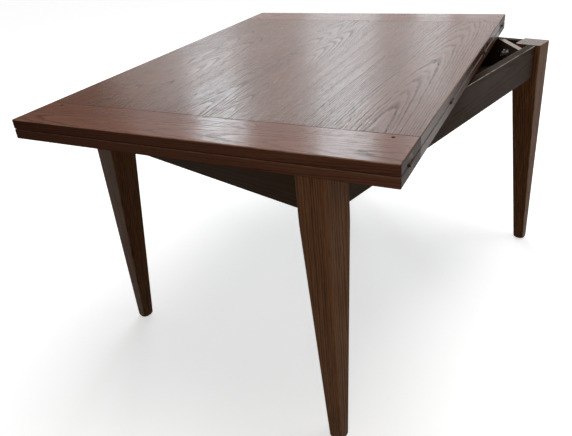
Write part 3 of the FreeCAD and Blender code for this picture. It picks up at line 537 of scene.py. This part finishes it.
def selectFaces(piece, test):
    bpy.ops.object.mode_set(mode="OBJECT")
    chosen = [test(face) for face in piece.data.polygons]
    bpy.ops.object.mode_set(mode="EDIT")
    bpy.ops.mesh.select_mode(type="FACE")
    bpy.ops.mesh.select_all(action="DESELECT")
    bpy.ops.object.mode_set(mode="OBJECT")
    for face, wanted in zip(piece.data.polygons, chosen):
        face.select = wanted
    bpy.ops.object.mode_set(mode="EDIT")


def pullFaces(height):
    bpy.ops.mesh.extrude_region_move(TRANSFORM_OT_translate={"value": (0, 0, height)})


# slotted screw with its flat head at the origin and its point up
def modelScrew(look):
    head, shank, length = look["head"] / 2, look["shank"] / 2, look["length"]
    sink, tip, level = head - shank, 2 * shank, look["level"]
    bpy.ops.mesh.primitive_cylinder_add(
        vertices=look["sides"], radius=head, depth=sink, location=(0, 0, sink / 2))
    screw = bpy.context.object
    bpy.ops.object.transform_apply(location=True)
    selectFaces(screw, lambda face: face.normal.z > level)
    bpy.ops.transform.resize(value=(shank / head, shank / head, 1))
    pullFaces(length - tip - sink)
    pullFaces(tip)
    bpy.ops.transform.resize(value=(look["point"], look["point"], 1))
    for side in (-1, 1):
        selectFaces(screw, lambda face: face.normal.z < -level)
        bpy.ops.mesh.bisect(plane_co=(0, side * look["slot"] / 2, 0), plane_no=(0, 1, 0))
    selectFaces(screw, lambda face: face.normal.z < -level and abs(face.center.y) < look["slot"] / 4)
    pullFaces(look["slotDepth"])
    bpy.ops.object.mode_set(mode="OBJECT")
    return screw


# one screw at each place, its slot left where the driver stopped
def setScrews(node, look, places, body, finish):
    bpy.ops.object.select_all(action="DESELECT")
    first = modelScrew(look)
    shape = first.data
    screws = [first] + [bpy.data.objects.new(node, shape.copy()) for _ in places[1:]]
    for number, (screw, (point, axis)) in enumerate(zip(screws, places)):
        if number:
            bpy.context.scene.collection.objects.link(screw)
        stop = Quaternion((0, 0, 1), math.radians(look["clocking"] * number))
        screw.matrix_world = Matrix.LocRotScale(point, axis.to_track_quat("Z", "Y") @ stop, None)
        screw.select_set(True)
    bpy.context.view_layer.objects.active = first
    bpy.ops.object.join()
    bpy.ops.object.transform_apply(location=True, rotation=True, scale=True)
    bpy.ops.object.shade_smooth_by_angle(angle=math.radians(look["smooth"]))
    first.name = node.replace("screws", "slotted_screws")
    first.data.materials.append(finish)
    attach(first, body)
    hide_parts(node)


smallScrew = {"head": 0.006, "shank": 0.003, "length": 0.016, "sides": 24, "point": 0.12, "level": 0.9,
              "slot": 0.0008, "slotDepth": 0.0009, "clocking": 67, "smooth": 35}
largeScrew = dict(smallScrew, head=0.008, shank=0.004, length=0.030, slot=0.0011, slotDepth=0.0012)

# hinge screws: two through each plate, square into the leaf's edge
hingeScrews = {"spread": 0.013, "drop": 0.010, "faceFromPin": 0.0005}
edgeAlong = Vector((across.y, -across.x, 0))
for leaf, side in (("lower", -1), ("upper", 1)):
    places = []
    for number in hingeNumbers:
        pin = middleOf(f"lower_hinge_plate_{number}")
        pin.z = middleOf("hinge_pins").z
        for end in (-1, 1):
            offset = edgeAlong * end * hingeScrews["spread"] / 2 + up * side * hingeScrews["drop"]
            places.append((pin + offset + across * hingeScrews["faceFromPin"], across))
    setScrews(f"{leaf}_hinge_screws", smallScrew, places, f"{leaf}_leaf", bronze)

# pivot screws: four up through the flange
flangeScrews = {"circle": 0.066, "thickness": 0.0042, "turns": (45, 135, 225, 315)}
pivot = middleOf("pivot_bush")
pivot.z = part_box("pivot_flange")[1].z - flangeScrews["thickness"]
places = []
for turn in flangeScrews["turns"]:
    angle = math.radians(turn + topTurn)
    places.append((pivot + Vector((math.cos(angle), math.sin(angle), 0)) * flangeScrews["circle"] / 2, up))
setScrews("flange_screws", smallScrew, places, "lower_leaf", steel)

# panel screws: up through the store's floor into the aprons
panelScrews = {"edge": 0.0053, "end": 0.060, "longShares": (-1, -1 / 3, 1 / 3, 1), "shortShares": (-1, 0, 1)}
low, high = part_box("store_panel")
middle = middleOf("store_panel")
longRun = (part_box("apron_front")[1].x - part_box("apron_front")[0].x) / 2 - panelScrews["end"]
shortRun = (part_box("apron_left")[1].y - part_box("apron_left")[0].y) / 2 - panelScrews["end"]
places = []
for side in (-1, 1):
    rowY = middle.y + side * (high.y - middle.y - panelScrews["edge"])
    rowX = middle.x + side * (high.x - middle.x - panelScrews["edge"])
    for share in panelScrews["longShares"]:
        places.append((Vector((middle.x + share * longRun, rowY, low.z)), up))
    for share in panelScrews["shortShares"]:
        places.append((Vector((rowX, middle.y + share * shortRun, low.z)), up))
setScrews("panel_screws", smallScrew, places, "base", steel)

# brace screws: square through the inner face, near each end and at two heights
braceScrews = {"inset": 0.009, "spread": 0.026}
places = []
for corner in braceSet["turns"]:
    low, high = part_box(f"brace_{corner}")
    centre = (low + high) / 2
    inward = Vector((math.copysign(1, middle.x - centre.x), math.copysign(1, middle.y - centre.y), 0))
    reach = (high.x - low.x) / 2 - braceScrews["inset"] / math.sqrt(2)
    for end in (-1, 1):
        faceEnd = centre + Vector((inward.x * end, -inward.y * end, 0)) * reach
        for side in (-1, 1):
            places.append((faceEnd + up * side * braceScrews["spread"] / 2, -inward.normalized()))
setScrews("brace_screws", largeScrew, places, "base", steel)
print("screws set")


# the eye, gloss and glass see the pale background; other rays meet a plain room
def shownTo(tree):
    rays = addNode(tree, "ShaderNodeLightPath").outputs
    seen = mathStep(tree, "ADD", rays["Is Camera Ray"], rays["Is Glossy Ray"])
    return mathStep(tree, "ADD", seen, rays["Is Transmission Ray"], clamp=True)


# pale floor: near white to the eye, darker for the light that it throws up under the table
floorLook = {"size": 60.0, "pale": colour(0.88, 0.88, 0.88), "thrown": colour(0.06, 0.057, 0.054),
             "glow": (0.64, 0.98), "glowRun": (1.2, 3.4), "dull": 0.9, "shine": 0.1}
bpy.ops.mesh.primitive_plane_add(size=floorLook["size"], location=(0, 0, 0))
floor = bpy.context.object
floor.name = "floor"
floorFinish, floorTree, floorShader = newFinish("pale_floor")
rays = addNode(floorTree, "ShaderNodeLightPath")
floorColour = mixColour(floorTree, rays.outputs["Is Diffuse Ray"], floorLook["pale"], floorLook["thrown"])
floorTree.links.new(floorColour, floorShader.inputs["Base Color"])
floorShader.inputs["Emission Color"].default_value = floorLook["pale"]
fromTable = vectorStep(floorTree, "LENGTH", coordinate(floorTree, "Object"))
glow = spread(floorTree, fromTable, *floorLook["glowRun"], *floorLook["glow"], smooth=True)
shownGlow = mathStep(floorTree, "MULTIPLY", shownTo(floorTree), glow)
floorTree.links.new(shownGlow, floorShader.inputs["Emission Strength"])
floorShader.inputs["Roughness"].default_value = floorLook["dull"]
floorShader.inputs["Specular IOR Level"].default_value = floorLook["shine"]
floor.data.materials.append(floorFinish)

# soft studio light: wide lamps round the table, and tall windows behind it that show in the varnish
studio = {
    "room": 0.09, "roomColour": colour(0.985, 0.99, 1.0), "skyTint": (0.77, 0.925, 1.0), "aim": (0, 0, 0.6),
    "lamps": [
        {"name": "overhead", "place": (0.5, -0.1, 3.3), "size": (2.4, 2.6),
         "power": 77, "tint": (1.0, 0.99, 0.97)},
        {"name": "left", "place": (-1.40, -1.12, 0.95), "size": (0.6, 0.6),
         "power": 2.9, "tint": (1.0, 0.91, 0.80)},
        {"name": "right", "place": (1.7, -2.8, 2.2), "size": (1.8, 1.4),
         "power": 11.5, "tint": (0.92, 0.98, 1.0)},
        {"name": "back", "place": (2.6, 3.2, 2.4), "size": (2.2, 1.8),
         "power": 18, "tint": (1.0, 0.99, 0.97)},
    ],
    "windows": [
        {"name": "window_left_low", "place": (2.02, 2.79, 1.55), "size": (0.42, 0.6), "power": 0.95},
        {"name": "window_left", "place": (2.02, 2.79, 2.08), "size": (0.40, 0.5), "power": 6.0},
        {"name": "window_middle_low", "place": (2.79, 1.99, 1.55), "size": (0.60, 0.6), "power": 2.0},
        {"name": "window_middle", "place": (2.79, 1.99, 2.36), "size": (0.50, 1.02), "power": 9.4},
        {"name": "window_right", "place": (3.19, 1.37, 1.95), "size": (0.28, 1.4), "power": 2.7},
        {"name": "window_end", "place": (3.38, 0.99, 1.6), "size": (0.36, 0.8), "power": 0.68},
    ],
    "cards": [
        {"name": "dark_card_left", "place": (0.36, 3.73, 2.4), "size": (2.7, 3.6)},
        {"name": "dark_card_above", "place": (1.78, 2.95, 3.40), "size": (1.05, 2.08)},
    ],
    "cardColour": colour(0.35, 0.35, 0.35), "cardDull": 0.9,
}
world = bpy.data.worlds.new("studio_room")
bpy.context.scene.world = world
world.use_nodes = True
roomTree = world.node_tree
room = next(node for node in roomTree.nodes if node.type == "BACKGROUND")
room.inputs["Color"].default_value = studio["roomColour"]
feed(roomTree, room.inputs["Strength"], spread(roomTree, shownTo(roomTree), 0.0, 1.0, studio["room"], 1.0))


def aimed(place):
    return (Vector(studio["aim"]) - Vector(place)).to_track_quat("-Z", "Y").to_euler()


for panel in studio["lamps"] + studio["windows"]:
    lamp = bpy.data.lights.new(panel["name"], "AREA")
    lamp.shape = "RECTANGLE"
    lamp.size, lamp.size_y = panel["size"]
    lamp.energy = panel["power"]
    lamp.color = panel.get("tint", studio["skyTint"])
    holder = bpy.data.objects.new(panel["name"], lamp)
    holder.location = panel["place"]
    holder.rotation_euler = aimed(panel["place"])
    holder.visible_camera = False
    holder.visible_glossy = panel in studio["windows"]
    bpy.context.scene.collection.objects.link(holder)

# dark cards, seen only in the varnish: they keep the near left corner free of glare
cardFinish, _, cardShader = newFinish("dark_card")
cardShader.inputs["Base Color"].default_value = studio["cardColour"]
cardShader.inputs["Roughness"].default_value = studio["cardDull"]
for card in studio["cards"]:
    bpy.ops.mesh.primitive_plane_add(size=1, location=card["place"], rotation=aimed(card["place"]))
    sheet = bpy.context.object
    sheet.name = card["name"]
    sheet.scale = (*card["size"], 1)
    sheet.data.materials.append(cardFinish)
    sheet.visible_camera = sheet.visible_diffuse = sheet.visible_shadow = False

# the photograph's view
view = {"place": (-1.19212, -1.04262, 1.14193), "turn": (62.5683, 4.5449, -49.0946),
        "lens": 36.424, "sensor": 36, "shift": (-0.01366, -0.04343)}
lens = bpy.data.cameras.new("photo_view")
lens.lens = view["lens"]
lens.sensor_width = view["sensor"]
lens.shift_x, lens.shift_y = view["shift"]
camera = bpy.data.objects.new("photo_view", lens)
camera.location = view["place"]
camera.rotation_euler = [math.radians(angle) for angle in view["turn"]]
bpy.context.scene.collection.objects.link(camera)
bpy.context.scene.camera = camera
bpy.context.scene.view_settings.view_transform = "Standard"
print("light and camera set")
